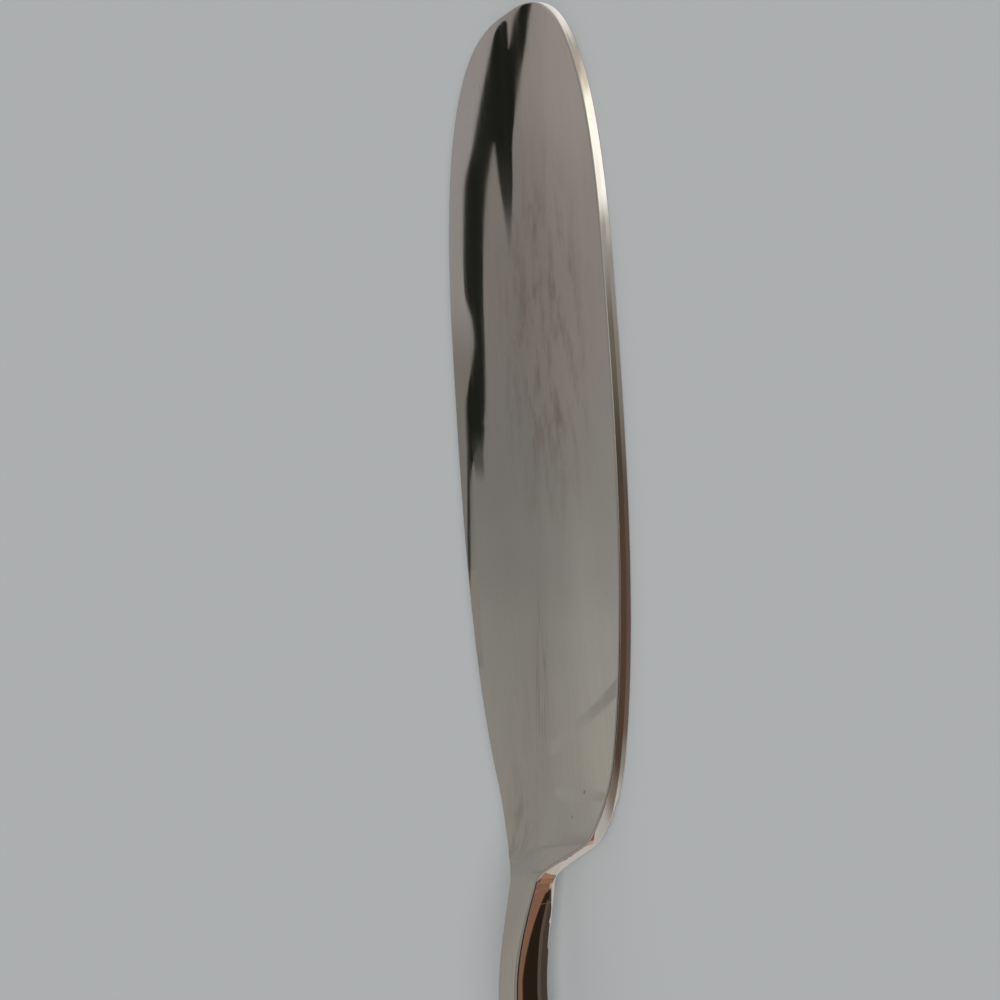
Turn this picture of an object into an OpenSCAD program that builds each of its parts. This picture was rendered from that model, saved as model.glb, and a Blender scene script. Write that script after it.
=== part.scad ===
// Cake server with a hollow handle.
// One forging makes the blade, the cranked neck and the tang. The handle is two pressed half shells,
// soldered edge to edge, closed at the front by a ferrule and filled with the cement that holds the tang.
// Lengths are in millimetres. X runs along the server to the tip, Y across it, and Z up from the table.

/* [Blade] */
// Length of the blade, from its tip to the root of the neck
blade_len = 130; // [100:1:170]
// Greatest width of the blade
blade_w = 47; // [36:1:64]
// Distance from the tip back to the widest place
widest_from_tip = 53; // [35:1:65]
// Fullness of the outline towards the tip: 2 is an ellipse, more is squarer
tip_power = 2.8; // [2.2:0.1:3.4]
// Fullness of the outline towards the neck
base_power = 2.5; // [2.2:0.1:3]
// Length over which the shoulders open from the neck
shoulder_len = 6; // [3:0.2:8]
// Height of the edge at the root of the neck
root_edge_t = 2.2; // [1.6:0.1:3]
// Height of the edge at the tip
tip_edge_t = 1.7; // [1.2:0.1:2.4]
// Height of the top face's middle above its edge, at the widest place
crown = 0.7; // [0.1:0.05:1]
// Radius of the rounding along the edge
edge_r = 0.3; // [0.2:0.05:0.6]

/* [Neck] */
// Length of the neck, from its root to the ferrule
neck_len = 32; // [28:1:60]
// Width of the neck at its root
neck_root_w = 7.7; // [6:0.1:10]
// Width of the neck behind its taper
neck_w = 5.4; // [4.4:0.1:6]
// Length of the neck's taper
neck_taper = 14; // [8:1:24]
// Height of the neck at the ferrule
neck_t = 5.8; // [4.6:0.1:6.2]
// Length over which the neck gains its height
neck_swell = 28; // [14:1:30]
// Rounding of the neck's top edges
neck_top_r = 0.6; // [0.4:0.1:1.6]
// Rounding of the neck's underside
neck_under_r = 1.5; // [0.6:0.1:2.4]
// Rise of the crank for each millimetre that the shoulders draw in
crank_ratio = 0.44; // [0.2:0.02:0.6]
// Distance in front of the root at which the crank starts
crank_ahead = 7.5; // [6:0.5:12]
// Rise of the long sweep from the blade to the ferrule
sweep_rise = 6.8; // [4:0.1:10]
// Distance in front of the root at which the sweep starts
sweep_ahead = 16; // [10:1:24]
// Distance behind the root at which the sweep is level
sweep_behind = 16; // [12:1:27]

/* [Tang] */
// Length of the tang inside the cement
tang_len = 56; // [30:1:60]
// Width of the tang
tang_w = 4.2; // [3:0.1:4.4]
// Height of the tang
tang_t = 3.6; // [2.4:0.1:4.4]
// Length over which the neck's section draws down to the tang's
tang_taper = 4; // [3:0.5:6]
// Depth of each notch that keys the tang in the cement
notch_depth = 0.7; // [0.2:0.1:1]
// Number of notches along the tang
notch_count = 3; // [1:1:5]

/* [Ferrule] */
// Length of the ferrule in front of the shells
ferrule_len = 9; // [7:0.5:14]
// Length of the spigot inside the shells
spigot_len = 5; // [3:0.5:8]
// Rounding of the ferrule's front
dome_r = 1.8; // [0.8:0.1:2]
// Height of the bead round the ferrule
bead_r = 0.6; // [0.3:0.1:1]
// Width of the bead
bead_w = 2.6; // [1.6:0.1:3.2]
// Distance from the shells to the middle of the bead
bead_back = 2; // [1.8:0.1:2.6]

/* [Handle] */
// Length of the shells, from the ferrule to the butt
handle_len = 98; // [80:1:120]
// Length of the shells behind the ferrule that keeps the ferrule's width
straight_len = 8; // [4:1:16]
// Width of the handle at the ferrule
mouth_w = 12.5; // [11:0.1:15]
// Height of the handle at the ferrule
mouth_h = 10.5; // [10:0.1:13]
// Width of the handle at the butt
butt_w = 21; // [16:0.5:26]
// Height of the handle at the butt
butt_h = 12.5; // [11:0.1:16]
// Length of the rounded butt
butt_round = 15; // [10:0.5:20]
// Fullness of the handle's section: 2 is an ellipse
section_power = 2.3; // [2:0.1:3]
// Wall of the shells
shell_t = 0.9; // [0.6:0.1:1.2]
// Thickness of the soldered seam between the shells
solder_t = 0.16; // [0.1:0.02:0.3]

/* [Fits] */
// Clearance of the neck and of the shells on the ferrule
slip = 0.08; // [0.04:0.01:0.15]
// Clearance round the cement
bed_gap = 0.06; // [0.04:0.01:0.12]

/* [Hidden] */

silver = [0.78, 0.76, 0.72];
solder_grey = [0.66, 0.65, 0.63];
cement_buff = [0.72, 0.66, 0.55];

// Places along X
total_len = blade_len + neck_len + ferrule_len + handle_len;
x_root = total_len / 2 - blade_len;
x_mouth = x_root - neck_len;

// Length of the blade behind its widest place
base_len = blade_len - widest_from_tip;

// The section starts to gain height this far in front of the root, within the crank
swell_ahead = 0.6 * crank_ahead;

// Stations from the mouth of the ferrule back along the handle
handle_end = ferrule_len + handle_len;
butt_from = handle_end - butt_round;
spigot_end = ferrule_len + spigot_len;
tang_end = spigot_end + bed_gap + tang_len;
swell_from = ferrule_len + straight_len;
butt_power = 2.3;
butt_last_angle = 88;

// Numbers of facets
base_steps = 20;
tip_steps = 16;
neck_steps = 16;
tang_steps = 6 * notch_count;
handle_steps = 16;
butt_steps = 7;
ring_points = 28;
half_points = ring_points / 2;
tip_angle = 0.25;
crowding = 1.5;

function clamp(v, low, high) = max(low, min(high, v));
function smooth(t) = let (c = clamp(t, 0, 1)) c * c * (3 - 2 * c);
function ease_out(t, p) = 1 - pow(1 - clamp(t, 0, 1), p);
function mix(a, b, t) = a + (b - a) * t;
function signed_pow(v, p) = sign(v) * pow(abs(v), p);
function steps(from, to, count) = [for (i = [0:count]) mix(from, to, i / count)];

// Forging: every size along it is a function of s, the distance in front of the neck's root.

// Half width of the two half ovals that make the blade
function oval_half(s) =
    let (ahead = s - base_len, power = ahead > 0 ? tip_power : base_power,
         share = min(1, abs(ahead) / (ahead > 0 ? widest_from_tip : base_len)))
    blade_w / 2 * pow(1 - pow(share, power), 1 / power);

// Half width of the neck, which tapers back from its root
function neck_half(s) = mix(neck_root_w, neck_w, ease_out(-s / neck_taper, 2)) / 2;

// Half width of the tang, drawn in by a row of notches
function tang_half(u) =
    let (along = clamp((u - spigot_end - tang_taper) / (tang_end - spigot_end - tang_taper), 0, 1))
    tang_w / 2 - notch_depth / 2 * (1 - cos(360 * notch_count * along));

function handle_u(s) = -s - neck_len;

function half_width(s) =
    s >= 0 ? mix(neck_half(0), oval_half(s), smooth(s / shoulder_len))
    : handle_u(s) <= spigot_end ? neck_half(s)
    : mix(neck_w / 2, tang_half(handle_u(s)), smooth((handle_u(s) - spigot_end) / tang_taper));

// Height of the top edge above the table, up the crank and along the sweep
function edge_t(s) = mix(root_edge_t, tip_edge_t, clamp(s / blade_len, 0, 1));
function neck_share(s) = ease_out((swell_ahead - s) / neck_swell, 3);
function edge_top(s) = edge_t(s) + crank(s)
    + sweep_rise * smooth((sweep_ahead - s) / (sweep_ahead + sweep_behind));

// The crank lifts the top by a share of what the shoulders draw in from an even curve across the root
function crank(s) =
    let (near = clamp(s, 0, crank_ahead), fall = 1 - pow(near / crank_ahead, 2),
         even = half_width(crank_ahead) - outline_rise(crank_ahead) * crank_ahead / 2 * fall)
    crank_ratio * (even - half_width(near));

// Height of the section, and of its middle
function bar_t(s) = handle_u(s) <= spigot_end ? mix(edge_t(s), neck_t, neck_share(s))
    : mix(neck_t, tang_t, smooth((handle_u(s) - spigot_end) / tang_taper));
function bar_mid(s) = s >= -neck_len ? edge_top(s) - bar_t(s) / 2 : handle_mid(handle_u(s));

// Slope of the outline in plan, and the direction that the edge faces
function outline_rise(s) = let (step = 0.0001) (half_width(s) - half_width(s - step)) / step;
function edge_normal(s) = let (rise = outline_rise(s)) [-rise, 1] / norm([rise, 1]);

// Right half of one section, from the middle of the top face round the edge to the middle of the underside
top_shares = [0, 0.3, 0.55, 0.75, 0.9, 1];
top_arc = [60, 30, 0];
under_arc = [0, 30, 60, 90];
under_shares = [0.5, 0];
function half_section(s, grow) =
    let (half = half_width(s) + grow, out = edge_normal(s), share = neck_share(s),
         top = bar_mid(s) + bar_t(s) / 2 + grow, under = bar_mid(s) - bar_t(s) / 2 - grow,
         limit = 0.45 * min(top - under, neck_w),
         top_r = min(limit, mix(edge_r, neck_top_r, share) + grow),
         under_r = min(limit, mix(edge_r, neck_under_r, share) + grow),
         dome = crown * pow(2 * half / blade_w, 2),
         x = x_root + s)
    concat(
        [for (k = top_shares)
            [x - out[0] * top_r, k * (half - out[1] * top_r), top + dome * (1 - k * k)]],
        [for (a = top_arc) let (in = top_r * (1 - cos(a)))
            [x - out[0] * in, half - out[1] * in, top - top_r * (1 - sin(a))]],
        [for (a = under_arc) let (in = under_r * (1 - cos(a)))
            [x - out[0] * in, half - out[1] * in, under + under_r * (1 - sin(a))]],
        [for (k = under_shares) [x - out[0] * under_r, k * (half - out[1] * under_r), under]]);

// Whole section: the right half, then its mirror image from the underside back up
function section(s, grow = 0) =
    let (right = half_section(s, grow), last = len(right) - 1)
    concat(right, [for (i = [last - 1:-1:1]) [right[i][0], -right[i][1], right[i][2]]]);

// Stations along the forging, close together where the outline turns
function oval_station(angle, reach, power) = reach * pow(cos(angle), 2 / power);
tip_stations = [for (i = [tip_steps:-1:0])
    let (angle = mix(tip_angle, 90, pow(1 - i / tip_steps, crowding)))
    base_len + oval_station(angle, widest_from_tip, tip_power)];
base_stations = [for (i = [1:base_steps])
    base_len - oval_station(90 * (1 - i / base_steps), base_len, base_power)];
neck_stations = [for (i = [1:neck_steps]) -neck_len * pow(i / neck_steps, crowding)];
bedded_us = concat([for (t = [1:3]) spigot_end + tang_taper * t / 3],
    [for (i = [1:tang_steps]) mix(spigot_end + tang_taper, tang_end, i / tang_steps)]);
bore_us = [0, ferrule_len / 2, ferrule_len, spigot_end];
tang_stations = [for (u = concat(bore_us, bedded_us)) if (u > 0) -neck_len - u];

// Handle: every size along it is a function of u, the distance behind the ferrule's front.

function swell(u) = smooth((u - swell_from) / (butt_from - swell_from));
function body_w(u) = mix(mouth_w, butt_w, swell(u));
function body_h(u) = mix(mouth_h, butt_h, swell(u));

// The underside leaves the ferrule level and comes down level with the table at the butt
low_start = bar_mid(-neck_len) - mouth_h / 2 - solder_t / 2;
function handle_low(u) = low_start * (1 - smooth(u / butt_from));
function handle_mid(u) = handle_low(u) + (body_h(u) + solder_t) / 2;

// A station on the handle is [u, t], where t goes from 0 to 1 over the rounded butt
function butt_share(t) = pow(1 - pow(t, butt_power), 1 / butt_power);
function place_u(station, inset) =
    station[1] > 0 ? butt_from + (butt_round - inset) * station[1] : station[0];
body_us = steps(ferrule_len, butt_from, handle_steps);
butt_stations = [for (i = [1:butt_steps])
    [handle_end, pow(sin(mix(0, butt_last_angle, i / butt_steps)), 2 / butt_power)]];

// A point on the handle's oval section, this far inside its outer face
function oval_point(station, inset, angle, lift = 0) =
    let (u = place_u(station, inset), share = butt_share(station[1]))
    [x_mouth - u,
     (body_w(u) / 2 - inset) * share * signed_pow(cos(angle), 2 / section_power),
     handle_mid(u) + lift + (body_h(u) / 2 - inset) * share * signed_pow(sin(angle), 2 / section_power)];

// A whole oval ring, in the same order as a section of the forging
function oval_ring(station, inset) =
    [for (k = [0:ring_points - 1]) oval_point(station, inset, 90 - 360 * k / ring_points)];

// Faces between rings of m points. The first ring is the one nearest the tip.
function skin(rings, m, first = 0, inward = false) =
    [for (i = [0:rings - 2], k = [0:m - 1])
        let (a = first + i * m + k, b = first + i * m + (k + 1) % m)
        each inward ? [[a, b + m, a + m], [a, b, b + m]] : [[a, a + m, b + m], [a, b + m, b]]];

// Point in the middle of a ring, level with its widest place, and the faces that close the ring round it
function ring_middle(ring) = (ring[len(ring) / 4 + 1] + ring[3 * len(ring) / 4 - 1]) / 2;
function fan(m, first, middle, facing_back = false) =
    [for (k = [0:m - 1])
        let (a = first + k, b = first + (k + 1) % m)
        facing_back ? [middle, b, a] : [middle, a, b]];

// Faces of the flat collar between an outer and an inner ring
function collar(m, outer, inner, facing_back = false) =
    [for (k = [0:m - 1])
        let (a = outer + k, b = outer + (k + 1) % m, c = inner + (k + 1) % m, d = inner + k)
        each facing_back ? [[a, c, b], [a, d, c]] : [[a, b, c], [a, c, d]]];

function flat(lists) = [for (l = lists) each l];

module solid_loft(rings) {
    m = len(rings[0]);
    last = (len(rings) - 1) * m;
    middles = [ring_middle(rings[0]), ring_middle(rings[len(rings) - 1])];
    polyhedron(concat(flat(rings), middles),
        concat(skin(len(rings), m), fan(m, 0, last + m), fan(m, last, last + m + 1, true)));
}

// Outer rings with a hole right through them
module bored_loft(rings, hole) {
    m = len(rings[0]);
    first = len(rings) * m;
    hole_last = first + (len(hole) - 1) * m;
    polyhedron(flat(concat(rings, hole)),
        concat(skin(len(rings), m), skin(len(hole), m, first, true),
            collar(m, 0, first), collar(m, first - m, hole_last, true)));
}

// Outer rings with a pocket in the front, which ends in its own last ring
module pocket_loft(rings, pocket) {
    m = len(rings[0]);
    first = len(rings) * m;
    pocket_last = first + (len(pocket) - 1) * m;
    middles = [ring_middle(rings[len(rings) - 1]), ring_middle(pocket[len(pocket) - 1])];
    polyhedron(concat(flat(concat(rings, pocket)), middles),
        concat(skin(len(rings), m), skin(len(pocket), m, first, true), collar(m, 0, first),
            fan(m, first - m, pocket_last + m, true), fan(m, pocket_last, pocket_last + m + 1)));
}

// Half of the handle's shell, on the upper side or the lower
module half_shell(side) {
    stations = concat([for (u = body_us) [u, 0]], butt_stations);
    lift = side * solder_t / 2;
    turn = [for (k = [0:half_points]) side > 0 ? 180 - 360 * k / ring_points : -360 * k / ring_points];
    back = [for (k = [half_points:-1:0]) turn[k]];
    rings = [for (s = stations) concat([for (a = turn) oval_point(s, 0, a, lift)],
        [for (a = back) oval_point(s, shell_t, a, lift)])];
    m = len(rings[0]);
    last = (len(rings) - 1) * m;
    mouth = [for (k = [0:half_points - 1]) each [[k, k + 1, m - 2 - k], [k, m - 2 - k, m - 1 - k]]];
    butt_outer = [for (k = [1:half_points - 1]) [last, last + k + 1, last + k]];
    butt_inner = [for (k = [half_points + 1:m - 3]) [last + m - 1, last + k + 1, last + k]];
    edge = last + half_points;
    butt_edge = [[edge, last, last + m - 1], [edge, last + m - 1, edge + 1]];
    polyhedron(flat(rings), concat(skin(len(rings), m), mouth, butt_outer, butt_inner, butt_edge));
}

module blade() {
    color(silver)
        solid_loft([for (s = concat(tip_stations, base_stations, neck_stations, tang_stations))
            section(s)]);
}

module ferrule() {
    bead_mid = ferrule_len - bead_back;
    dome = [for (a = [0:22.5:90]) [dome_r * (1 - cos(a)), dome_r * (1 - sin(a))]];
    bead = [for (a = [0:30:180]) [bead_mid - bead_w / 2 * cos(a), -bead_r * sin(a)]];
    spigot = [[ferrule_len, 0], [ferrule_len, shell_t + slip], [spigot_end, shell_t + slip]];
    rings = [for (p = concat(dome, bead, spigot)) oval_ring([p[0], 0], p[1])];
    bore = [for (u = bore_us) section(-neck_len - u, slip)];
    color(silver) bored_loft(rings, bore);
}

module handle_top_shell() {
    color(silver) half_shell(1);
}

module handle_bottom_shell() {
    color(silver) half_shell(-1);
}

// A thin strip that runs from the ferrule round the butt and back, as wide as the shells' wall
module seam_solder() {
    stations = concat([for (u = body_us) [u, 0]], butt_stations);
    function cut(station, angle) = [for (edge = [[0, 1], [shell_t, 1], [shell_t, -1], [0, -1]])
        oval_point(station, edge[0], angle, edge[1] * solder_t / 2)];
    far = [for (i = [len(stations) - 1:-1:0]) cut(stations[i], 180)];
    rings = concat([for (s = stations) cut(s, 0)], far);
    last = 4 * (len(rings) - 1);
    ends = [[0, 2, 1], [0, 3, 2], [last, last + 1, last + 2], [last, last + 2, last + 3]];
    color(solder_grey) polyhedron(flat(rings), concat(skin(len(rings), 4, 0, true), ends));
}

module cement_core() {
    inset = shell_t + bed_gap;
    front = spigot_end + bed_gap;
    behind = [for (u = body_us) if (u > front) [u, 0]];
    outer = [for (s = concat([[front, 0]], behind, butt_stations)) oval_ring(s, inset)];
    pocket = [for (u = concat([front], bedded_us, [tang_end + bed_gap])) section(-neck_len - u, bed_gap)];
    color(cement_buff) pocket_loft(outer, pocket);
}

blade();
ferrule();
handle_top_shell();
handle_bottom_shell();
seam_solder();
cement_core();
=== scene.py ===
import math

import bmesh
import bpy
from mathutils import Matrix, Vector


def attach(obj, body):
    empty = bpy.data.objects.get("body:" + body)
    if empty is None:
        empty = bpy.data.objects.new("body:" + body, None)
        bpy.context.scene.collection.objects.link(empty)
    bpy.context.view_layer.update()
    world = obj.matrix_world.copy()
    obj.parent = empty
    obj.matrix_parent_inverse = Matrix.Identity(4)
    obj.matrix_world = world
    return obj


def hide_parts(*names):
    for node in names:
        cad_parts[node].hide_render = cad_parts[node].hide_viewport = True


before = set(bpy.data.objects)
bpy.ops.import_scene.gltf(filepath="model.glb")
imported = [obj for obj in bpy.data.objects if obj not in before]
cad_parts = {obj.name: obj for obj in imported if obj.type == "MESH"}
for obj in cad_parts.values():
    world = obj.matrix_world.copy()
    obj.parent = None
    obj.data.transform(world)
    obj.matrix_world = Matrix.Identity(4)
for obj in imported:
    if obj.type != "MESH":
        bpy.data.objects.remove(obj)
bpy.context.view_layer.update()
mm = 0.001  # sizes and places below are in mm, noise scales are per metre
print("frame loaded:", ", ".join(sorted(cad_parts)))


def clamp(v, low=0.0, high=1.0):
    return max(low, min(high, v))


def mix(a, b, t):
    return a + (b - a) * t


def smooth(t):
    c = clamp(t)
    return c * c * (3 - 2 * c)


def easeOut(t, power):
    return 1 - (1 - clamp(t)) ** power


def signedPow(v, power):
    return math.copysign(abs(v) ** power, v)


# forging: blade, neck and tang, s runs forward from the root of the neck
blade = {
    "length": 130.0,
    "width": 47.0,
    "widestFromTip": 53.0,
    "tipPower": 2.8,
    "basePower": 2.5,
    "shoulder": 6.0,
    "rootEdge": 2.2,
    "tipEdge": 1.7,
    "crown": 0.7,
    "edgeRound": 0.3,
    "tipSteps": 64,
    "tipStart": 0.04,  # degrees round from the very tip
    "tipCrowding": 1.5,
    "baseSteps": 96,
    "sharpAngle": 50.0,
}
neck = {
    "length": 32.0,
    "rootWidth": 7.7,
    "width": 5.4,
    "taper": 14.0,
    "height": 5.8,
    "swell": 28.0,
    "swellAhead": 4.5,
    "topRound": 0.6,
    "underRound": 1.5,
    "roundLimit": 0.45,  # share of the bar's height or width
    "crankFollow": 0.44,
    "crankAhead": 7.5,
    "sweepRise": 6.8,
    "sweepAhead": 16.0,
    "sweepBehind": 16.0,
    "steps": 56,
    "rootCrowding": 1.5,
}
tang = {
    "length": 56.0,
    "width": 4.2,
    "height": 3.6,
    "taper": 4.0,
    "bedGap": 0.06,
    "notchDepth": 0.7,
    "notches": 3,
    "steps": 48,
}
# handle: ferrule, shells and seam, u runs back from the front of the ferrule
ferrule = {
    "length": 9.0,
    "spigot": 5.0,
    "dome": 1.8,
    "domeSteps": 10,
    "beadHeight": 0.6,
    "beadWidth": 2.6,
    "beadBack": 2.0,
    "beadSteps": 14,
    "around": 120,
    "slip": 0.08,
    "sharpAngle": 40.0,
}
handle = {
    "length": 98.0,
    "mouthWidth": 12.5,
    "mouthHeight": 10.5,
    "buttWidth": 21.0,
    "buttHeight": 12.5,
    "buttRound": 15.0,
    "buttPower": 2.3,
    "buttLastAngle": 88.0,
    "sectionPower": 2.3,
    "swellBehind": 8.0,
    "wall": 0.9,
    "around": 48,
    "bodySteps": 60,
    "buttSteps": 22,
    "sharpAngle": 40.0,
}
seam = {"height": 0.16, "hollow": 0.05, "hollowShare": 0.4, "sharpAngle": 40.0}

totalLength = blade["length"] + neck["length"] + ferrule["length"] + handle["length"]
rootX = totalLength / 2 - blade["length"]
mouthX = rootX - neck["length"]
baseLength = blade["length"] - blade["widestFromTip"]
spigotEnd = ferrule["length"] + ferrule["spigot"]
tangEnd = spigotEnd + tang["bedGap"] + tang["length"]
handleEnd = ferrule["length"] + handle["length"]
buttFrom = handleEnd - handle["buttRound"]
swellFrom = ferrule["length"] + handle["swellBehind"]


def ovalHalf(s):
    ahead = s - baseLength
    power = blade["tipPower"] if ahead > 0 else blade["basePower"]
    share = min(1.0, abs(ahead) / (blade["widestFromTip"] if ahead > 0 else baseLength))
    return blade["width"] / 2 * (1 - share ** power) ** (1 / power)


def neckHalf(s):
    return mix(neck["rootWidth"], neck["width"], easeOut(-s / neck["taper"], 2)) / 2


def tangHalf(u):
    along = clamp((u - spigotEnd - tang["taper"]) / (tangEnd - spigotEnd - tang["taper"]))
    return tang["width"] / 2 - tang["notchDepth"] / 2 * (1 - math.cos(math.tau * tang["notches"] * along))


def halfWidth(s):
    u = -s - neck["length"]
    if s >= 0:
        return mix(neckHalf(0), ovalHalf(s), smooth(s / blade["shoulder"]))
    if u <= spigotEnd:
        return neckHalf(s)
    return mix(neck["width"] / 2, tangHalf(u), smooth((u - spigotEnd) / tang["taper"]))


def edgeHeight(s):
    return mix(blade["rootEdge"], blade["tipEdge"], clamp(s / blade["length"]))


def neckShare(s):
    return easeOut((neck["swellAhead"] - s) / neck["swell"], 3)


def outlineRise(s):
    step = 0.0001
    return (halfWidth(s) - halfWidth(s - step)) / step


def crank(s):
    # lifts the top as the shoulders draw in
    ahead = neck["crankAhead"]
    near = clamp(s, 0, ahead)
    even = halfWidth(ahead) - outlineRise(ahead) * ahead / 2 * (1 - (near / ahead) ** 2)
    return neck["crankFollow"] * (even - halfWidth(near))


def edgeTop(s):
    sweep = smooth((neck["sweepAhead"] - s) / (neck["sweepAhead"] + neck["sweepBehind"]))
    return edgeHeight(s) + crank(s) + neck["sweepRise"] * sweep


def barHeight(s):
    u = -s - neck["length"]
    if u <= spigotEnd:
        return mix(edgeHeight(s), neck["height"], neckShare(s))
    return mix(neck["height"], tang["height"], smooth((u - spigotEnd) / tang["taper"]))


def swellShare(u):
    return smooth((u - swellFrom) / (buttFrom - swellFrom))


def bodyWidth(u):
    return mix(handle["mouthWidth"], handle["buttWidth"], swellShare(u))


def bodyHeight(u):
    return mix(handle["mouthHeight"], handle["buttHeight"], swellShare(u))


neckEndMid = edgeTop(-neck["length"]) - barHeight(-neck["length"]) / 2
mouthLow = neckEndMid - handle["mouthHeight"] / 2 - seam["height"] / 2


def handleMid(u):
    return mouthLow * (1 - smooth(u / buttFrom)) + (bodyHeight(u) + seam["height"]) / 2


def barMid(s):
    if s >= -neck["length"]:
        return edgeTop(s) - barHeight(s) / 2
    return handleMid(-s - neck["length"])


def edgeFacing(s):
    rise = outlineRise(s)
    length = math.hypot(rise, 1)
    return -rise / length, 1 / length


topSteps = 18
topShares = [math.sin(math.pi / 2 * i / topSteps) for i in range(topSteps + 1)]  # crowded towards the edge
arcSteps = 8
underShares = [0.85, 0.6, 0.3, 0.0]


def halfSection(s, grow=0.0):
    half = halfWidth(s) + grow
    outX, outY = edgeFacing(s)
    share = neckShare(s)
    top = barMid(s) + barHeight(s) / 2 + grow
    under = barMid(s) - barHeight(s) / 2 - grow
    limit = neck["roundLimit"] * min(top - under, neck["width"])
    topR = min(limit, mix(blade["edgeRound"], neck["topRound"], share) + grow)
    underR = min(limit, mix(blade["edgeRound"], neck["underRound"], share) + grow)
    dome = blade["crown"] * (2 * half / blade["width"]) ** 2
    x = rootX + s
    points = []
    for k in topShares:
        points.append((x - outX * topR, k * (half - outY * topR), top + dome * (1 - k * k)))
    for i in range(1, arcSteps + 1):
        a = math.pi / 2 * (1 - i / arcSteps)
        inset = topR * (1 - math.cos(a))
        points.append((x - outX * inset, half - outY * inset, top - topR * (1 - math.sin(a))))
    for i in range(arcSteps + 1):
        a = math.pi / 2 * i / arcSteps
        inset = underR * (1 - math.cos(a))
        points.append((x - outX * inset, half - outY * inset, under + underR * (1 - math.sin(a))))
    for k in underShares:
        points.append((x - outX * underR, k * (half - outY * underR), under))
    return points


def wholeSection(s, grow=0.0):
    right = halfSection(s, grow)
    return right + [(p[0], -p[1], p[2]) for p in right[-2:0:-1]]


def ovalPoint(u, share, inset, angle, lift=0.0):
    power = 2 / handle["sectionPower"]
    y = (bodyWidth(u) / 2 - inset) * share * signedPow(math.cos(angle), power)
    z = (bodyHeight(u) / 2 - inset) * share * signedPow(math.sin(angle), power)
    return mouthX - u, y, handleMid(u) + lift + z


def handleStations(inset):
    # (u, share of the full section) from the ferrule to the end of the butt
    steps = handle["bodySteps"]
    stations = [(mix(ferrule["length"], buttFrom, i / steps), 1.0) for i in range(steps + 1)]
    for i in range(1, handle["buttSteps"] + 1):
        angle = math.radians(handle["buttLastAngle"] * i / handle["buttSteps"])
        t = math.sin(angle) ** (2 / handle["buttPower"])
        share = (1 - t ** handle["buttPower"]) ** (1 / handle["buttPower"])
        stations.append((buttFrom + (handle["buttRound"] - inset) * t, share))
    return stations


def addRing(bm, points):
    return [bm.verts.new([v * mm for v in p]) for p in points]


def joinRings(bm, rings):
    for a, b in zip(rings, rings[1:]):
        for k in range(len(a)):
            n = (k + 1) % len(a)
            bm.faces.new((a[k], b[k], b[n], a[n]))


def fanCap(bm, ring):
    middle = bm.verts.new(sum((v.co for v in ring), Vector()) / len(ring))
    for k in range(len(ring)):
        bm.faces.new((middle, ring[k], ring[(k + 1) % len(ring)]))


def finishMesh(bm, name, sharpAngle):
    bmesh.ops.recalc_face_normals(bm, faces=bm.faces)
    mesh = bpy.data.meshes.new(name)
    bm.to_mesh(mesh)
    bm.free()
    mesh.shade_smooth()
    mesh.set_sharp_from_angle(angle=math.radians(sharpAngle))
    piece = bpy.data.objects.new(name, mesh)
    bpy.context.collection.objects.link(piece)
    return piece


def makeBlade():
    stations = []
    for i in range(blade["tipSteps"] + 1):
        angle = math.radians(mix(blade["tipStart"], 90, (i / blade["tipSteps"]) ** blade["tipCrowding"]))
        reach = blade["widestFromTip"] * math.cos(angle) ** (2 / blade["tipPower"])
        stations.append(baseLength + reach)
    for i in range(1, blade["baseSteps"] + 1):
        angle = math.pi / 2 * (1 - i / blade["baseSteps"])
        stations.append(baseLength - baseLength * math.cos(angle) ** (2 / blade["basePower"]))
    for i in range(1, neck["steps"] + 1):
        stations.append(-neck["length"] * (i / neck["steps"]) ** neck["rootCrowding"])
    for u in (ferrule["length"] / 2, ferrule["length"], spigotEnd):
        stations.append(-neck["length"] - u)
    for i in range(1, tang["steps"] + 1):
        stations.append(-neck["length"] - mix(spigotEnd, tangEnd, i / tang["steps"]))
    bm = bmesh.new()
    rings = [addRing(bm, wholeSection(s)) for s in stations]
    joinRings(bm, rings)
    fanCap(bm, rings[0])
    fanCap(bm, rings[-1])
    return finishMesh(bm, "blade_forging", blade["sharpAngle"])


def makeFerrule():
    profile = []  # (u, inset) from the front of the dome to the end of the spigot
    for i in range(ferrule["domeSteps"] + 1):
        a = math.pi / 2 * i / ferrule["domeSteps"]
        profile.append((ferrule["dome"] * (1 - math.cos(a)), ferrule["dome"] * (1 - math.sin(a))))
    beadMid = ferrule["length"] - ferrule["beadBack"]
    for i in range(ferrule["beadSteps"] + 1):
        a = math.pi * i / ferrule["beadSteps"]
        u = beadMid - ferrule["beadWidth"] / 2 * math.cos(a)
        profile.append((u, -ferrule["beadHeight"] * math.sin(a)))
    inner = handle["wall"] + ferrule["slip"]
    profile += [(ferrule["length"], 0.0), (ferrule["length"], inner), (spigotEnd, inner)]
    count = ferrule["around"]
    turns = [math.pi / 2 - math.tau * k / count for k in range(count)]  # from the top, as in the bore
    bm = bmesh.new()
    rings = [addRing(bm, [ovalPoint(u, 1.0, inset, a) for a in turns]) for u, inset in profile]
    joinRings(bm, rings)
    boreDepths = (0, ferrule["length"] / 2, spigotEnd)
    bore = [addRing(bm, wholeSection(-neck["length"] - u, ferrule["slip"])) for u in boreDepths]
    joinRings(bm, bore[::-1])
    for outerRing, boreRing in ((rings[0], bore[0]), (rings[-1], bore[-1])):
        loops = []
        for ring in (outerRing, boreRing):
            for k in range(len(ring)):
                loops.append(bm.edges.get((ring[k], ring[(k + 1) % len(ring)])))
        bmesh.ops.bridge_loops(bm, edges=loops)
    return finishMesh(bm, "neck_ferrule", ferrule["sharpAngle"])


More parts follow.
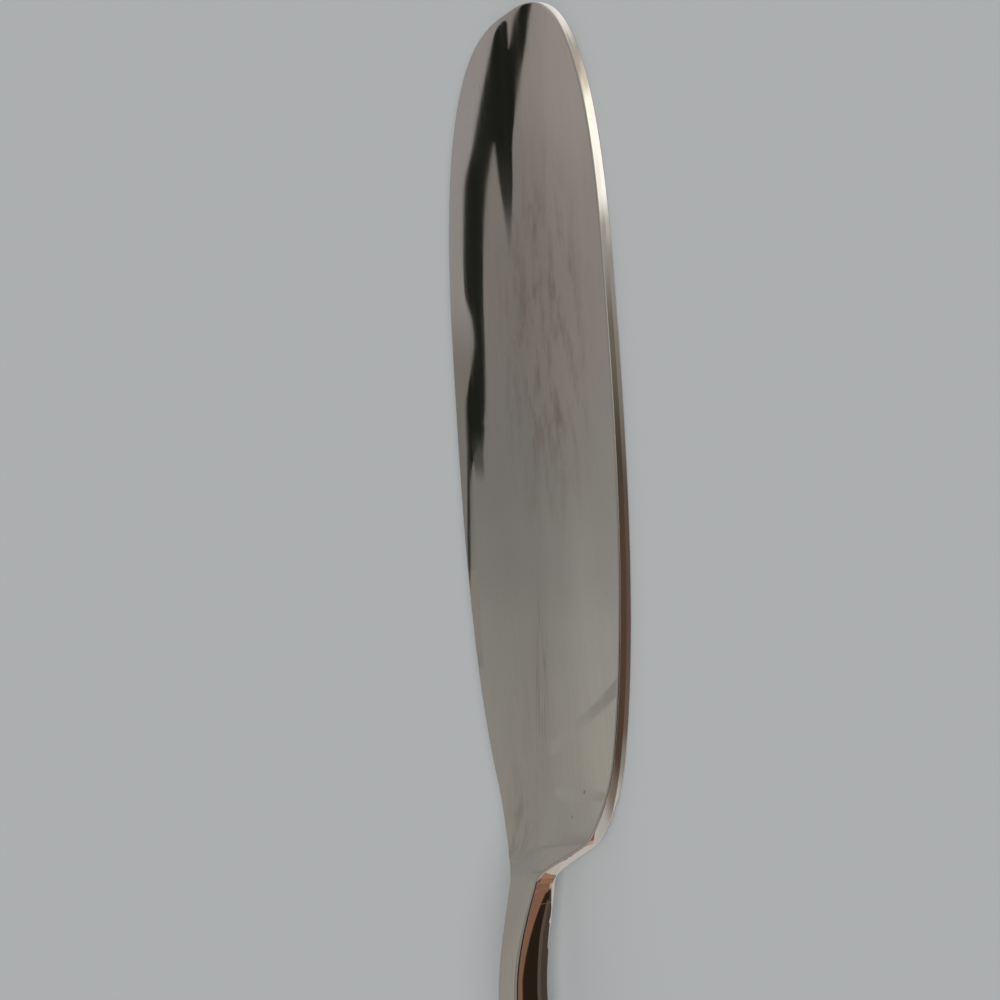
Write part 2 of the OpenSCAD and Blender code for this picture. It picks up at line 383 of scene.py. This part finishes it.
def makeShell(name, side):
    lift = side * seam["height"] / 2
    count = handle["around"]
    outerPlaces = handleStations(0.0)
    innerPlaces = handleStations(handle["wall"])
    turns = [math.pi * (1 - k / count) if side > 0 else -math.pi * k / count for k in range(count + 1)]
    bm = bmesh.new()
    rings = []
    for (uOut, shareOut), (uIn, shareIn) in zip(outerPlaces, innerPlaces):
        outer = [ovalPoint(uOut, shareOut, 0.0, a, lift) for a in turns]
        inner = [ovalPoint(uIn, shareIn, handle["wall"], a, lift) for a in reversed(turns)]
        rings.append(addRing(bm, outer + inner))
    joinRings(bm, rings)
    first, last = rings[0], rings[-1]
    m = len(last)
    for k in range(count):  # rim at the ferrule
        bm.faces.new((first[k], first[k + 1], first[m - 2 - k], first[m - 1 - k]))
    bm.faces.new(last[:count + 1])  # end of the butt, outside, inside and along the seam
    bm.faces.new(last[count + 1:])
    bm.faces.new((last[count], last[0], last[m - 1], last[count + 1]))
    return finishMesh(bm, name, handle["sharpAngle"])


def makeSeam():
    half = seam["height"] / 2
    step = seam["hollowShare"] * half
    profile = [(0.0, half), (seam["hollow"], step), (seam["hollow"], -step), (0.0, -half),
               (handle["wall"], -half), (handle["wall"], half)]  # (inset, lift) of a cut through the seam
    places = [handleStations(inset) for inset, lift in profile]

    def cut(i, angle):
        ring = []
        for (inset, lift), stations in zip(profile, places):
            u, share = stations[i]
            ring.append(ovalPoint(u, share, inset, angle, lift))
        return ring

    count = len(places[0])
    bm = bmesh.new()
    rings = [addRing(bm, cut(i, 0.0)) for i in range(count)]
    rings += [addRing(bm, cut(i, math.pi)) for i in reversed(range(count))]
    joinRings(bm, rings)
    bm.faces.new(rings[0])
    bm.faces.new(rings[-1])
    return finishMesh(bm, "handle_seam", seam["sharpAngle"])


# shader nodes
nodeGrid = {"columns": 12, "across": 220, "down": 320}
seedSteps = (1.0, 0.7, 0.3)  # shift of a noise along x, y and z for each unit of its seed
patchCore = 0.25  # a soft patch is full out to this share of its radius


def setInputs(tree, node, inputs):
    # each input gets a fixed value or the output of another node
    for key, value in inputs.items():
        if isinstance(value, bpy.types.NodeSocket):
            tree.links.new(value, node.inputs[key])
        else:
            node.inputs[key].default_value = value


def addNode(tree, kind, inputs=None, **settings):
    node = tree.nodes.new(kind)
    row, column = divmod(len(tree.nodes), nodeGrid["columns"])
    node.location = (column * nodeGrid["across"], -row * nodeGrid["down"])
    for key, value in settings.items():
        setattr(node, key, value)
    setInputs(tree, node, inputs or {})
    return node


def objectCoords(tree):
    return addNode(tree, "ShaderNodeTexCoord").outputs["Object"]


def mapTo(tree, value, fromEnds, toEnds, **settings):
    inputs = {"Value": value, "From Min": fromEnds[0], "From Max": fromEnds[1]}
    inputs.update({"To Min": toEnds[0], "To Max": toEnds[1]})
    return addNode(tree, "ShaderNodeMapRange", inputs, **settings).outputs["Result"]


def doMath(tree, kind, a, b=None, clampIt=False):
    inputs = {0: a} if b is None else {0: a, 1: b}
    return addNode(tree, "ShaderNodeMath", inputs, operation=kind, use_clamp=clampIt).outputs[0]


def mixColours(tree, factor, a, b, blend="MIX"):
    inputs = {"Factor": factor, "A": a, "B": b}
    return addNode(tree, "ShaderNodeMix", inputs, data_type="RGBA", blend_type=blend).outputs["Result"]


def stretchedNoise(tree, coords, look):
    if "turn" in look:
        turned = {"Vector": coords, "Rotation": (0, 0, math.radians(look["turn"]))}
        coords = addNode(tree, "ShaderNodeMapping", turned, vector_type="TEXTURE").outputs["Vector"]
    shift = [look["seed"] * v for v in seedSteps]
    stretch = {"Vector": coords, "Location": shift, "Scale": look["scale"]}
    coords = addNode(tree, "ShaderNodeMapping", stretch, vector_type="POINT").outputs["Vector"]
    inputs = {"Vector": coords, "Scale": 1.0, "Detail": look["detail"], "Roughness": look["rough"]}
    return addNode(tree, "ShaderNodeTexNoise", inputs).outputs["Fac"]


def noiseShare(tree, coords, look):
    return mapTo(tree, stretchedNoise(tree, coords, look), look["from"], look["to"])


def hairLines(tree, coords, look):
    # thin lines where a stretched noise crosses its middle value
    off = doMath(tree, "SUBTRACT", stretchedNoise(tree, coords, look), 0.5)
    lines = mapTo(tree, doMath(tree, "ABSOLUTE", off), (0.0, look["width"]), (1.0, 0.0))
    return doMath(tree, "MULTIPLY", lines, look["strength"])


def softPatch(tree, coords, look):
    # 1 in the middle of an oval patch, 0 at its rim
    inputs = {
        "Vector": coords,
        "Location": [v * mm for v in look["middle"]],
        "Rotation": (0, 0, math.radians(look.get("turn", 0.0))),
        "Scale": [v * mm for v in look["size"]],
    }
    inPatch = addNode(tree, "ShaderNodeMapping", inputs, vector_type="TEXTURE").outputs["Vector"]
    far = addNode(tree, "ShaderNodeVectorMath", {0: inPatch}, operation="LENGTH").outputs["Value"]
    return mapTo(tree, far, (patchCore, 1.0), (1.0, 0.0), interpolation_type="SMOOTHSTEP")


# silver plate: each noise has the ends that it is mapped from and to
silverLook = {
    "colour": (0.78, 0.76, 0.72),
    "toned": (0.46, 0.385, 0.315),
    "lines": {"scale": (22, 3800, 3800), "detail": 4.0, "rough": 0.6, "seed": 0.0,
              "from": (0.3, 0.7), "to": (0.0, 0.09)},
    "lineDepth": 0.012,
    "lineHeight": 0.02,
    "streaks": {"scale": (14, 420, 420), "detail": 4.0, "rough": 0.5, "seed": 3.0,
                "from": (0.35, 0.72), "to": (0.025, 0.08)},  # roughness
    "mottle": {"scale": (140, 420, 420), "detail": 6.0, "rough": 0.62, "seed": 9.0,
               "from": (0.46, 0.70), "to": (0.14, 0.80)},
    "clouds": {"scale": (28, 60, 60), "detail": 3.0, "rough": 0.5, "seed": 11.0,
               "from": (0.35, 0.8), "to": (0.0, 0.22)},
    "tonedPatches": (
        {"middle": (84, -6, 0), "size": (36, 17, 50), "strength": 1.0},
        {"middle": (13, 9, 0), "size": (12, 8, 50), "strength": 0.7},
        {"middle": (25, 5, 0), "size": (13, 12, 50), "strength": 0.22},
    ),
    "rubbed": {"middle": (34, 0.8, 0), "size": (19, 2.6, 50), "turn": -7.0},
    "rubLines": {"scale": (40, 1100, 1100), "detail": 1.0, "rough": 0.5, "turn": -7.0, "seed": 5.0,
                 "width": 0.05, "strength": 0.6},
    "crossLines": {"scale": (60, 700, 700), "detail": 1.0, "rough": 0.5, "turn": 14.0, "seed": 21.0,
                   "width": 0.012, "strength": 0.08},
    "dullRoughness": 0.3,
    "pits": (
        {"middle": (17.3, -9.4, 2.6), "size": (0.4, 0.4, 1.6)},
        {"middle": (14.1, -6.5, 3.1), "size": (0.32, 0.32, 1.28)},
        {"middle": (12.0, 3.0, 4.1), "size": (0.16, 0.16, 0.64)},
        {"middle": (96.0, 12.0, 2.0), "size": (0.15, 0.15, 0.6)},
        {"middle": (51.5, -9.0, 2.3), "size": (0.14, 0.14, 0.56)},
    ),
}


def silverFinish(name, look):
    mat = bpy.data.materials.new(name)
    mat.use_nodes = True
    tree = mat.node_tree
    coords = objectCoords(tree)

    # toning: faint clouds all over, brown mottling in patches
    brown = noiseShare(tree, coords, look["mottle"])
    tone = noiseShare(tree, coords, look["clouds"])
    for patch in look["tonedPatches"]:
        share = doMath(tree, "MULTIPLY", softPatch(tree, coords, patch), patch["strength"])
        tone = doMath(tree, "ADD", tone, doMath(tree, "MULTIPLY", share, brown))

    # rubbed lines along the middle, a few lines across, fine lines all over
    rubbed = softPatch(tree, coords, look["rubbed"])
    rubs = doMath(tree, "MULTIPLY", rubbed, hairLines(tree, coords, look["rubLines"]))
    dull = doMath(tree, "ADD", rubs, hairLines(tree, coords, look["crossLines"]))
    lines = stretchedNoise(tree, coords, look["lines"])
    grain = mapTo(tree, lines, look["lines"]["from"], look["lines"]["to"])
    tone = doMath(tree, "ADD", doMath(tree, "ADD", tone, dull), grain, clampIt=True)
    for pit in look["pits"]:
        tone = doMath(tree, "MAXIMUM", tone, softPatch(tree, coords, pit))

    rough = noiseShare(tree, coords, look["streaks"])
    rough = doMath(tree, "ADD", rough, doMath(tree, "MULTIPLY", dull, look["dullRoughness"]))
    bump = {"Height": lines, "Strength": look["lineDepth"], "Distance": look["lineHeight"] * mm}
    setInputs(tree, tree.nodes["Principled BSDF"], {
        "Base Color": mixColours(tree, tone, (*look["colour"], 1), (*look["toned"], 1)),
        "Metallic": 1.0,
        "Roughness": rough,
        "Normal": addNode(tree, "ShaderNodeBump", bump).outputs["Normal"],
    })
    return mat


solderLook = {
    "dark": (0.52, 0.51, 0.48),
    "pale": (0.68, 0.67, 0.64),
    "grain": {"scale": (1500, 1500, 1500), "detail": 6.0, "rough": 0.65, "seed": 0.0, "from": (0.3, 0.7)},
    "grainDepth": 0.3,
    "grainHeight": 0.1,
    "roughness": (0.25, 0.4),
    "metallic": 1.0,
}
cementLook = {
    "dark": (0.55, 0.49, 0.40),
    "pale": (0.76, 0.70, 0.59),
    "grain": {"scale": (700, 700, 700), "detail": 6.0, "rough": 0.65, "seed": 0.0, "from": (0.3, 0.7)},
    "grainDepth": 0.3,
    "grainHeight": 0.1,
    "roughness": (0.8, 0.95),
    "metallic": 0.0,
}


def grainyFinish(name, look):
    mat = bpy.data.materials.new(name)
    mat.use_nodes = True
    tree = mat.node_tree
    grain = stretchedNoise(tree, objectCoords(tree), look["grain"])
    share = mapTo(tree, grain, look["grain"]["from"], (0.0, 1.0))
    bump = {"Height": grain, "Strength": look["grainDepth"], "Distance": look["grainHeight"] * mm}
    setInputs(tree, tree.nodes["Principled BSDF"], {
        "Base Color": mixColours(tree, share, (*look["dark"], 1), (*look["pale"], 1)),
        "Metallic": look["metallic"],
        "Roughness": mapTo(tree, grain, look["grain"]["from"], look["roughness"]),
        "Normal": addNode(tree, "ShaderNodeBump", bump).outputs["Normal"],
    })
    return mat


silver = silverFinish("silver_plate_polished", silverLook)
solder = grainyFinish("solder_filed", solderLook)
cement = grainyFinish("cement_set", cementLook)
print("finishes made")

pieces = [
    (makeBlade(), "blade", "silver_plate", silver),
    (makeFerrule(), "ferrule", "silver_plate", silver),
    (makeShell("handle_shell_top", 1), "handle_top_shell", "silver_plate", silver),
    (makeShell("handle_shell_bottom", -1), "handle_bottom_shell", "silver_plate", silver),
    (makeSeam(), "seam_solder", "silver_solder", solder),
]
for piece, node, slotName, finish in pieces:
    piece.data.materials.append(finish)
    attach(piece, "root")
    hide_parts(node)
    print("made", piece.name, len(piece.data.polygons), "faces")
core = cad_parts["cement_core"]
core.data.materials.clear()
core.data.materials.append(cement)

# floor, sky and lamps
floorLook = {"size": 6000.0, "drop": 0.02, "colour": (0.43, 0.445, 0.455), "roughness": 1.0, "shine": 0.0}


def makeFloor():
    mesh = bpy.data.meshes.new("floor")
    half, z = floorLook["size"] / 2 * mm, -floorLook["drop"] * mm
    corners = [(-half, -half, z), (half, -half, z), (half, half, z), (-half, half, z)]
    mesh.from_pydata(corners, [], [(0, 1, 2, 3)])
    floor = bpy.data.objects.new("floor", mesh)
    bpy.context.collection.objects.link(floor)
    mat = bpy.data.materials.new("floor_paper")
    mat.use_nodes = True
    setInputs(mat.node_tree, mat.node_tree.nodes["Principled BSDF"], {
        "Base Color": (*floorLook["colour"], 1),
        "Roughness": floorLook["roughness"],
        "Specular IOR Level": floorLook["shine"],
    })
    mesh.materials.append(mat)


skyLook = {"colour": (0.45, 0.44, 0.425), "byHeight": ((0.0, 1.0), (0.45, 0.9), (0.75, 0.6), (1.0, 0.55))}


def fillRamp(tree, factor, stops):
    node = addNode(tree, "ShaderNodeValToRGB", {"Fac": factor})
    ramp = node.color_ramp
    ramp.interpolation = "EASE"
    while len(ramp.elements) < len(stops):
        ramp.elements.new(0.5)
    for element, (position, colour) in zip(ramp.elements, stops):
        element.position = position
        element.color = (*colour, 1)
    return node.outputs["Color"]


def makeSky():
    world = bpy.data.worlds.new("studio_sky")
    world.use_nodes = True
    tree = world.node_tree
    towards = addNode(tree, "ShaderNodeTexCoord").outputs["Generated"]
    height = addNode(tree, "ShaderNodeSeparateXYZ", {"Vector": towards}).outputs["Z"]
    stops = [(position, [c * share for c in skyLook["colour"]]) for position, share in skyLook["byHeight"]]
    setInputs(tree, tree.nodes["Background"], {"Color": fillRamp(tree, height, stops)})
    bpy.context.scene.world = world


# turn is clockwise from +y seen from above, rise from the table, both in degrees
lamps = {
    "soft_key": {"turn": 191.0, "rise": 29.0, "strength": 3.5, "angle": 24.0},
    "soft_fill": {"turn": 235.0, "rise": 42.0, "strength": 0.5, "angle": 90.0},
}


def makeLamp(name, look):
    data = bpy.data.lights.new(name, "SUN")
    data.energy = look["strength"]
    data.angle = math.radians(look["angle"])
    lamp = bpy.data.objects.new(name, data)
    turn, rise = math.radians(look["turn"]), math.radians(look["rise"])
    towards = Vector((math.sin(turn) * math.cos(rise), math.cos(turn) * math.cos(rise), math.sin(rise)))
    lamp.rotation_mode = "QUATERNION"
    lamp.rotation_quaternion = towards.to_track_quat("Z", "Y")
    lamp.visible_glossy = False  # the silver mirrors the sky and the cards
    bpy.context.collection.objects.link(lamp)


# glowing cards that only the silver sees: their shades paint the reflections, highlights and dark streaks
# that the silver mirrors
def stageCard(name, points, faces):
    mesh = bpy.data.meshes.new(name)
    mesh.from_pydata([[v * mm for v in p] for p in points], [], faces)
    card = bpy.data.objects.new(name, mesh)
    bpy.context.collection.objects.link(card)
    mat = bpy.data.materials.new(name)
    mat.use_nodes = True
    mesh.materials.append(mat)
    mat.node_tree.nodes.remove(mat.node_tree.nodes["Principled BSDF"])
    card.visible_camera = False
    card.visible_diffuse = False
    card.visible_shadow = False
    card.visible_transmission = False
    return mat.node_tree


def shadeAlong(tree, axis, stops):
    # shades at places along x or z
    first, last = stops[0][0], stops[-1][0]
    place = addNode(tree, "ShaderNodeSeparateXYZ", {"Vector": objectCoords(tree)}).outputs[axis]
    share = mapTo(tree, place, (first * mm, last * mm), (0.0, 1.0))
    return fillRamp(tree, share, [((v - first) / (last - first), colour) for v, colour in stops])


def makeCard(name, points, look, faces=None):
    # one shade, or shades along x that may fade with the height
    tree = stageCard(name, points, faces or [list(range(len(points)))])
    colour = shadeAlong(tree, "X", look["stops"]) if "stops" in look else (*look["shade"], 1)
    if "fade" in look:
        fade = shadeAlong(tree, "Z", [(z, (v, v, v)) for z, v in look["fade"]])
        colour = mixColours(tree, 1.0, colour, fade, "MULTIPLY")
    glow = addNode(tree, "ShaderNodeEmission", {"Color": colour, "Strength": 1.0})
    setInputs(tree, tree.nodes["Material Output"], {"Surface": glow.outputs["Emission"]})


# upright glowing cards beside the far edge, painting the reflections on the blade's face: a grey backdrop,
# lights and dark flags before it, corners (x, z)
flagBlack = (0.0135, 0.0145, 0.012)
farCards = {
    "grey_backdrop": {
        "y": 66.0,
        "corners": ((-220, 0), (340, 0), (340, 90), (-220, 90)),
        "stops": (
            (-220, (0.40, 0.39, 0.375)), (-60, (0.305, 0.295, 0.265)), (20, (0.303, 0.294, 0.265)),
            (33, (0.294, 0.289, 0.262)), (48, (0.27, 0.269, 0.25)), (62, (0.239, 0.237, 0.224)),
            (80, (0.22, 0.213, 0.203)), (112, (0.226, 0.211, 0.197)), (130, (0.24, 0.223, 0.211)),
            (155, (0.282, 0.262, 0.25)), (200, (0.30, 0.275, 0.26)), (340, (0.40, 0.39, 0.375)),
        ),
        "fade": ((0, 0.93), (14, 0.96), (22, 1.0), (38, 1.0), (46, 1.1), (56, 1.28), (90, 1.36)),
    },
    "crank_light": {
        "y": 65.5,
        "corners": ((43, 0), (60, 0), (60, 21), (43, 21)),
        "stops": ((43, (0.255, 0.254, 0.237)), (48, (0.30, 0.287, 0.262)), (60, (0.30, 0.287, 0.262))),
        "fade": ((0, 1.0), (12, 1.0), (21, 0.88)),
    },
    "far_edge_light": {
        "y": 65.5,
        "corners": (
            (90, 12), (180, 12), (180, 34), (166, 33), (156, 33), (148, 31), (141, 29),
            (135, 27.5), (129, 26), (121, 25), (112, 24.5), (104, 24.8), (98, 24.8), (92, 21.5),
        ),
        "stops": (
            (94, (0.225, 0.211, 0.198)), (110, (0.325, 0.314, 0.312)), (135, (0.342, 0.33, 0.335)),
            (158, (0.33, 0.312, 0.305)), (178, (0.292, 0.27, 0.256)),
        ),
    },
    "long_flag": {
        "y": 65.0,
        "rounded": True,
        "corners": (
            (55, 18.3), (62, 18.4), (70, 19.0), (80, 19.9), (88, 20.3), (93, 21.6), (99, 23.6),
            (104, 23.4), (108, 21.8), (114, 21.7), (121, 22.2), (129, 23.0), (135, 25.2), (141, 27.0),
            (148, 29.0), (156, 31.0), (162, 31.9), (164.8, 33.5), (163.5, 35.8), (157, 37.4), (150, 36.2),
            (144, 34.0), (138, 32.5), (134, 31.2), (127, 29.3), (118, 28.0), (108, 27.2), (98, 26.8),
            (90, 26.1), (86, 25.3), (83, 24.2), (80, 22.0), (75, 20.4), (70, 19.9), (62, 19.2),
        ),
        "stops": ((54, (0.12, 0.12, 0.11)), (62, (0.04, 0.04, 0.036)), (76, flagBlack)),
    },
    "long_flag_end": {
        "y": 65.0,
        "rounded": True,
        "corners": ((86, 25.2), (80, 24.6), (74, 24.3), (74, 22.6), (79, 21.6), (86, 21.4)),
        "stops": ((74.5, (0.225, 0.219, 0.208)), (79, (0.09, 0.09, 0.082)), (85, flagBlack)),
    },
    "short_flag": {
        "y": 65.0,
        "rounded": True,
        "corners": (
            (116, 36.4), (124, 37.6), (131, 38.4), (138, 38.7), (145, 39.9), (152, 41.7), (158, 43.3),
            (164, 44.0), (170, 43.8), (175.5, 42.0), (174.5, 39.0), (168, 38.2), (161, 38.0), (157, 37.2),
            (158, 35.8), (160, 34.0), (152, 32.6), (145, 32.3), (138, 32.6), (131, 33.8), (124, 35.2),
        ),
        "stops": ((116, (0.20, 0.19, 0.18)), (129, (0.03, 0.03, 0.027)), (138, flagBlack)),
    },
    # a slightly darker strip: painted shade line in the reflection across the base of the blade
    "base_line": {
        "y": 65.0,
        "rounded": True,
        "corners": (
            (27.6, 40), (29.8, 40), (33.5, 49), (37.5, 58), (42.4, 68), (39.6, 68), (35.0, 58), (31.2, 49),
        ),
        "stops": ((32, (0.33, 0.327, 0.30)), (37, (0.285, 0.281, 0.26)), (42, (0.265, 0.26, 0.242))),
    },
}
outlineSteps = 6


def roundedOutline(corners):
    # closed smooth line through a few corners
    line = []
    n = len(corners)
    for i in range(n):
        p0, p1, p2, p3 = (Vector(corners[(i + j - 1) % n]) for j in range(4))
        for j in range(outlineSteps):
            q = j / outlineSteps
            line.append(0.5 * (2 * p1 + (p2 - p0) * q + (2 * p0 - 5 * p1 + 4 * p2 - p3) * q * q
                               + (3 * p1 - p0 - 3 * p2 + p3) * q ** 3))
    return line


def makeFarCards():
    for name, card in farCards.items():
        outline = roundedOutline(card["corners"]) if card.get("rounded") else card["corners"]
        makeCard(name, [(x, card["y"], z) for x, z in outline], card)


# glowing strips just over the table along the near edge, seen only in the silver: painted reflections and
# white highlights in the near edge's wall; reach from the edge, shades at distances from the root
stripLook = {"height": 0.04, "steps": 90, "shortOfTip": 0.01}
edgeStrips = {
    "edge_low": {
        "reach": (0.02, 1.3),
        "stops": (
            (-1, (0.60, 0.59, 0.58)), (10, (0.58, 0.57, 0.54)), (16, (0.29, 0.27, 0.245)),
            (21, (0.165, 0.125, 0.10)), (36, (0.145, 0.092, 0.075)), (52, (0.13, 0.10, 0.08)),
            (69, (0.25, 0.23, 0.205)), (86, (0.35, 0.335, 0.31)), (91, (0.55, 0.54, 0.50)),
            (97, (1.33, 1.32, 1.28)), (110.5, (1.38, 1.32, 1.22)), (114, (0.80, 0.75, 0.66)),
            (119, (0.50, 0.46, 0.41)), (125.5, (1.05, 1.04, 1.0)), (130, (0.76, 0.75, 0.74)),
        ),
    },
    "edge_high": {
        "reach": (1.3, 9.0),
        "stops": (
            (-1, (0.60, 0.59, 0.58)), (5, (0.51, 0.49, 0.46)), (10, (0.23, 0.18, 0.15)),
            (16, (0.095, 0.062, 0.046)), (44, (0.105, 0.062, 0.043)), (56, (0.082, 0.065, 0.048)),
            (76, (0.175, 0.16, 0.13)), (91, (0.42, 0.41, 0.37)), (97, (1.20, 1.18, 1.10)),
            (110.5, (1.50, 1.44, 1.26)), (114, (0.98, 0.90, 0.76)), (117, (0.56, 0.50, 0.45)),
            (122, (0.50, 0.46, 0.41)), (125.5, (0.95, 0.93, 0.88)), (130, (0.70, 0.69, 0.68)),
        ),
    },
}


def makeEdgeStrips():
    steps = stripLook["steps"]
    faces = [(2 * i, 2 * i + 1, 2 * i + 3, 2 * i + 2) for i in range(steps)]
    for name, card in edgeStrips.items():
        start, end = card["stops"][0][0], card["stops"][-1][0]
        points = []
        for i in range(steps + 1):
            s = end - (end - start) * (1 - i / steps) ** 2  # crowded towards the tip
            s = min(s, end - stripLook["shortOfTip"])
            outX, outY = edgeFacing(s)
            for reach in card["reach"]:
                x, y = rootX + s + outX * reach, -halfWidth(s) - outY * reach
                points.append((x, y, stripLook["height"]))
        makeCard(name, points, {"stops": [(rootX + s, colour) for s, colour in card["stops"]]}, faces)


# glowing cards by the neck, seen only in the silver: painted reflections in the side walls of the neck and
# shoulder, copper and pale ones, and dark ones for the shade under the neck; flat ones at a height with
# corners (x, y), upright ones with corners (x, y, z)
warmBorder = ((1.6, -12), (0.4, -14.6), (-2, -17.6), (-4.5, -20.8), (-7.2, -24.2), (-9, -26.3), (-14, -27))
darkBorder = ((-14, -15), (-10, -15), (-4, -14.2), (0, -12.3))
neckCards = {
    "neck_warm": {
        "height": 0.06,
        "corners": (
            (3.2, -12.3), *warmBorder, (-14, -75), (6.2, -75), (6.2, -18), (5.6, -15.5), (5.3, -13.2),
        ),
        "shade": (0.25, 0.132, 0.085),
    },
    # dark card: painted shade of the floor beside the neck, mirrored in its side
    "neck_dark": {
        "height": 0.06,
        "corners": (*warmBorder, *darkBorder),
        "shade": (0.024, 0.016, 0.01),
    },
    # dark card: painted shade of the floor under the neck, mirrored in its lower rounding
    "neck_under": {
        "height": 0.06,
        "corners": (*darkBorder, (1.6, -12), (1.4, -8), (0.6, -3.2), (-4.5, -2.2), (-4.5, 16), (-14, 16)),
        "shade": (0.07, 0.056, 0.044),
    },
    # a thin lighter card: painted glint along the dark lower part of the neck's side
    "neck_glint": {
        "height": 0.08,
        "corners": (
            (-14, -16), (-10, -16), (-4, -15.1), (0, -13.1),
            (0.2, -11.9), (-4, -13.6), (-10, -14.4), (-14, -14.4),
        ),
        "shade": (0.115, 0.09, 0.075),
    },
    "shoulder_brown": {
        "height": 0.06,
        "corners": ((5.6, -15.5), (9, -18.8), (14, -75), (6.2, -75), (6.2, -18)),
        "shade": (0.12, 0.07, 0.05),
    },
    "shoulder_pale": {
        "height": 0.07,
        "corners": (
            (6.8, -9.6), (5.2, -10), (1.4, -8), (0.6, -3.2),
            (-2.6, -2.4), (-2.6, -0.4), (4.5, -0.4), (6.8, -5),
        ),
        "shade": (0.6, 0.575, 0.56),
    },
    "root_pink": {
        "height": 0.08,
        "corners": ((1.6, -12.2), (5.3, -13.2), (5.2, -10), (1.6, -8.2)),
        "shade": (0.5, 0.38, 0.33),
    },
    "root_warm": {
        "corners": ((2.2, -4.2, 2.5), (1.66, -6, 2.5), (1.66, -6, 6.5), (2.2, -4.2, 6.5)),
        "shade": (0.38, 0.205, 0.145),
    },
    "root_brown": {
        "corners": (
            (3.96, -5, 2.5), (2.61, -9.5, 2.5), (1.86, -12, 0.1),
            (0.3, -17.2, 0.1), (0.3, -17.2, 4.5), (3.96, -5, 6.5),
        ),
        "shade": (0.32, 0.17, 0.115),
    },
    "root_pale": {
        "corners": ((-0.6, -3.9, 0.1), (-0.6, 2, 0.1), (-0.6, 2, 4.0), (-0.6, -3.9, 4.5)),
        "shade": (0.56, 0.54, 0.5),
    },
}


def makeNeckCards():
    for name, card in neckCards.items():
        points = [(*c, card["height"]) for c in card["corners"]] if "height" in card else card["corners"]
        makeCard(name, points, card)


# dark oval card with a soft rim on the near side, seen only in the silver: its mirrored dark paints the
# thin dark line along the near edge
nearFlag = {
    "middle": (8.0, -76.0, 30.0),
    "size": (85.0, 40.0, 66.0),
    "foot": 1.0,
    "shade": (0.04, 0.024, 0.016),
}


def makeNearFlag():
    x, y, z = nearFlag["middle"]
    left, right = x - nearFlag["size"][0], x + nearFlag["size"][0]
    low, high = nearFlag["foot"], z + nearFlag["size"][2]
    corners = [(left, y, low), (right, y, low), (right, y, high), (left, y, high)]
    tree = stageCard("near_flag", corners, [(0, 1, 2, 3)])
    clear = addNode(tree, "ShaderNodeBsdfTransparent").outputs["BSDF"]
    glow = addNode(tree, "ShaderNodeEmission", {"Color": (*nearFlag["shade"], 1), "Strength": 1.0})
    rim = softPatch(tree, objectCoords(tree), nearFlag)
    both = addNode(tree, "ShaderNodeMixShader", {"Fac": rim, 1: clear, 2: glow.outputs["Emission"]})
    setInputs(tree, tree.nodes["Material Output"], {"Surface": both.outputs["Shader"]})


# camera: turn and rise seen from its aim on the table, roll in the picture, in degrees
cameraLook = {
    "turn": -10.66,
    "rise": 27.959,
    "roll": -3.686,
    "aim": (62.966, 14.512, 0.0),
    "distance": 393.012,
    "lens": 93.877,
    "sensor": 36.0,
    "clip": (10.0, 50000.0),
}


def makeCamera():
    turn, rise, roll = (math.radians(cameraLook[k]) for k in ("turn", "rise", "roll"))
    back = Vector((math.sin(turn) * math.cos(rise), -math.cos(turn) * math.cos(rise), math.sin(rise)))
    side = (-back).cross(Vector((1, 0, 0))).normalized()
    up = side.cross(-back)
    right = side * math.cos(roll) + up * math.sin(roll)
    up = up * math.cos(roll) - side * math.sin(roll)
    data = bpy.data.cameras.new("camera")
    data.lens = cameraLook["lens"]
    data.sensor_width = cameraLook["sensor"]
    data.clip_start, data.clip_end = (v * mm for v in cameraLook["clip"])
    data.dof.use_dof = False
    camera = bpy.data.objects.new("camera", data)
    camera.matrix_world = Matrix((right, up, back)).transposed().to_4x4()
    camera.location = (Vector(cameraLook["aim"]) + back * cameraLook["distance"]) * mm
    bpy.context.collection.objects.link(camera)
    bpy.context.scene.camera = camera


makeFloor()
makeSky()
for name, look in lamps.items():
    makeLamp(name, look)
makeNearFlag()
makeFarCards()
makeEdgeStrips()
makeNeckCards()
makeCamera()
bpy.context.scene.view_settings.view_transform = "Standard"
print("studio set")
